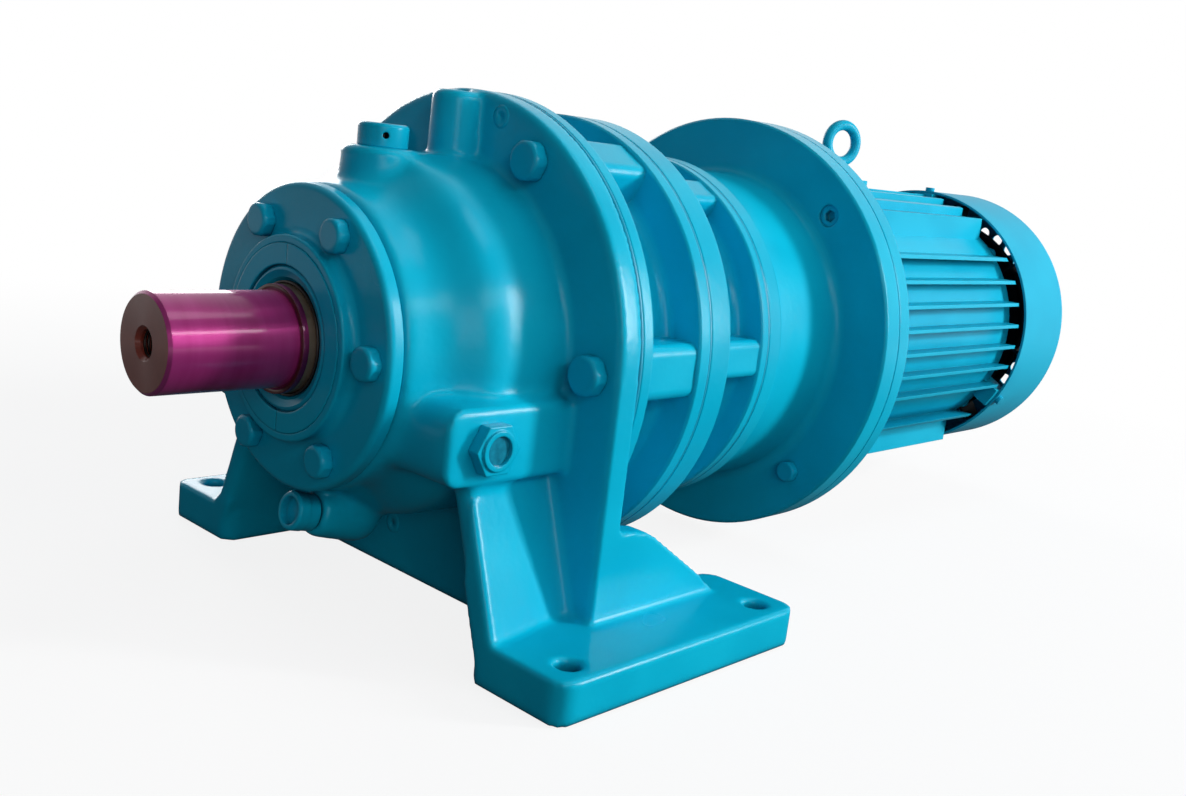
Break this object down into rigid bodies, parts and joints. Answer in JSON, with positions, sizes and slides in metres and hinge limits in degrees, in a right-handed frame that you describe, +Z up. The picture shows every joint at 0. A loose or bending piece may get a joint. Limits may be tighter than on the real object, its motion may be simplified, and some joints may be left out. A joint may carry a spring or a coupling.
{
  "type": "industrial gearbox with motor",
  "caption": "Foot-mounted cycloidal gearmotor with a keyed output shaft, stacked flanged ring housings, a finned motor and a fan cowl.",
  "frame": {"origin": "centre of the four foot bolts on the base plane", "axes": "+X along the shaft line from the output shaft to the motor, +Y to the terminal box side, +Z up"},
  "size_m": [1.043, 0.475, 0.406],
  "materials": {
    "gear_enamel": "gloss",
    "motor_enamel": "gloss",
    "shaft_lacquer": "gloss",
    "seal_rubber": "matte",
    "bearing_steel": "satin",
    "machined_steel": "satin",
    "core_steel": "satin",
    "winding_copper": "gloss",
    "gauge_glass": "gloss",
    "black_plastic": "matte",
    "sleeve_bronze": "satin"
  },
  "bodies": {
    "housing": {"base_housing": "gear_enamel", "front_cover": "gear_enamel", "cover_screws": "gear_enamel", "seal_retainer": "gear_enamel", "oil_seals": "seal_rubber", "case_bearing_outer": "bearing_steel", "vent_plug": "gear_enamel", "oil_gauge": "gear_enamel", "gauge_lens": "gauge_glass", "drain_plug": "gear_enamel", "ring_housing_low": "gear_enamel", "ring_pins_low": "bearing_steel", "flange_screws": "gear_enamel", "locating_screw": "gear_enamel", "ring_housing_high": "gear_enamel", "ring_pins_high": "bearing_steel", "bearing_plate": "machined_steel", "inner_screws": "machined_steel", "motor_adapter": "gear_enamel", "motor_flange": "gear_enamel", "motor_flange_screws": "gear_enamel", "motor_frame": "motor_enamel", "stator_core": "core_steel", "stator_windings": "winding_copper", "rear_shield": "motor_enamel", "rear_shield_screws": "motor_enamel", "motor_bearing_outer": "bearing_steel", "fan_cowl": "motor_enamel", "cowl_screws": "motor_enamel", "lifting_eye": "motor_enamel", "terminal_box": "motor_enamel", "terminal_lid": "motor_enamel", "terminal_screws": "machined_steel", "cable_gland": "black_plastic"},
    "output": {"output_shaft": "shaft_lacquer", "wear_sleeve": "sleeve_bronze", "output_bearing_rings": "bearing_steel", "output_pins": "bearing_steel", "output_rollers": "bearing_steel"},
    "intermediate": {"intermediate_shaft": "machined_steel", "low_eccentric": "machined_steel", "intermediate_bearing_rings": "bearing_steel", "intermediate_pins": "bearing_steel", "intermediate_rollers": "bearing_steel"},
    "low_disc_a_set": {"low_disc_a": "bearing_steel", "low_disc_bearing_a": "bearing_steel"},
    "low_disc_b_set": {"low_disc_b": "bearing_steel", "low_disc_bearing_b": "bearing_steel"},
    "high_disc_a_set": {"high_disc_a": "bearing_steel", "high_disc_bearing_a": "bearing_steel"},
    "high_disc_b_set": {"high_disc_b": "bearing_steel", "high_disc_bearing_b": "bearing_steel"},
    "rotor": {"motor_shaft": "machined_steel", "high_eccentric": "machined_steel", "rotor_core": "core_steel", "rotor_bearing_rings": "bearing_steel", "cooling_fan": "black_plastic", "fan_circlip": "machined_steel"}
  },
  "joints": [
    {"name": "rotor_spin", "type": "hinge", "parent": "housing", "child": "rotor", "pos_m": [0, 0, 0.2], "axis": [1, 0, 0], "continuous": true},
    {"name": "output_spin", "type": "hinge", "parent": "housing", "child": "output", "pos_m": [0, 0, 0.2], "axis": [1, 0, 0], "continuous": true},
    {"name": "intermediate_spin", "type": "hinge", "parent": "housing", "child": "intermediate", "pos_m": [0, 0, 0.2], "axis": [1, 0, 0], "continuous": true},
    {"name": "high_disc_a_turn", "type": "hinge", "parent": "rotor", "child": "high_disc_a_set", "pos_m": [0, 0.0035, 0.2], "axis": [1, 0, 0], "continuous": true},
    {"name": "high_disc_b_turn", "type": "hinge", "parent": "rotor", "child": "high_disc_b_set", "pos_m": [0, -0.0035, 0.2], "axis": [1, 0, 0], "continuous": true},
    {"name": "low_disc_a_turn", "type": "hinge", "parent": "intermediate", "child": "low_disc_a_set", "pos_m": [0, 0.004, 0.2], "axis": [1, 0, 0], "continuous": true},
    {"name": "low_disc_b_turn", "type": "hinge", "parent": "intermediate", "child": "low_disc_b_set", "pos_m": [0, -0.004, 0.2], "axis": [1, 0, 0], "continuous": true}
  ],
  "couplings": [
    {"joint": "output_spin", "follows": "rotor_spin", "ratio": 0.0053476},
    {"joint": "intermediate_spin", "follows": "rotor_spin", "ratio": -0.090909},
    {"joint": "high_disc_a_turn", "follows": "rotor_spin", "ratio": -1.0909},
    {"joint": "high_disc_b_turn", "follows": "rotor_spin", "ratio": -1.0909},
    {"joint": "low_disc_a_turn", "follows": "rotor_spin", "ratio": 0.096257},
    {"joint": "low_disc_b_turn", "follows": "rotor_spin", "ratio": 0.096257}
  ]
}
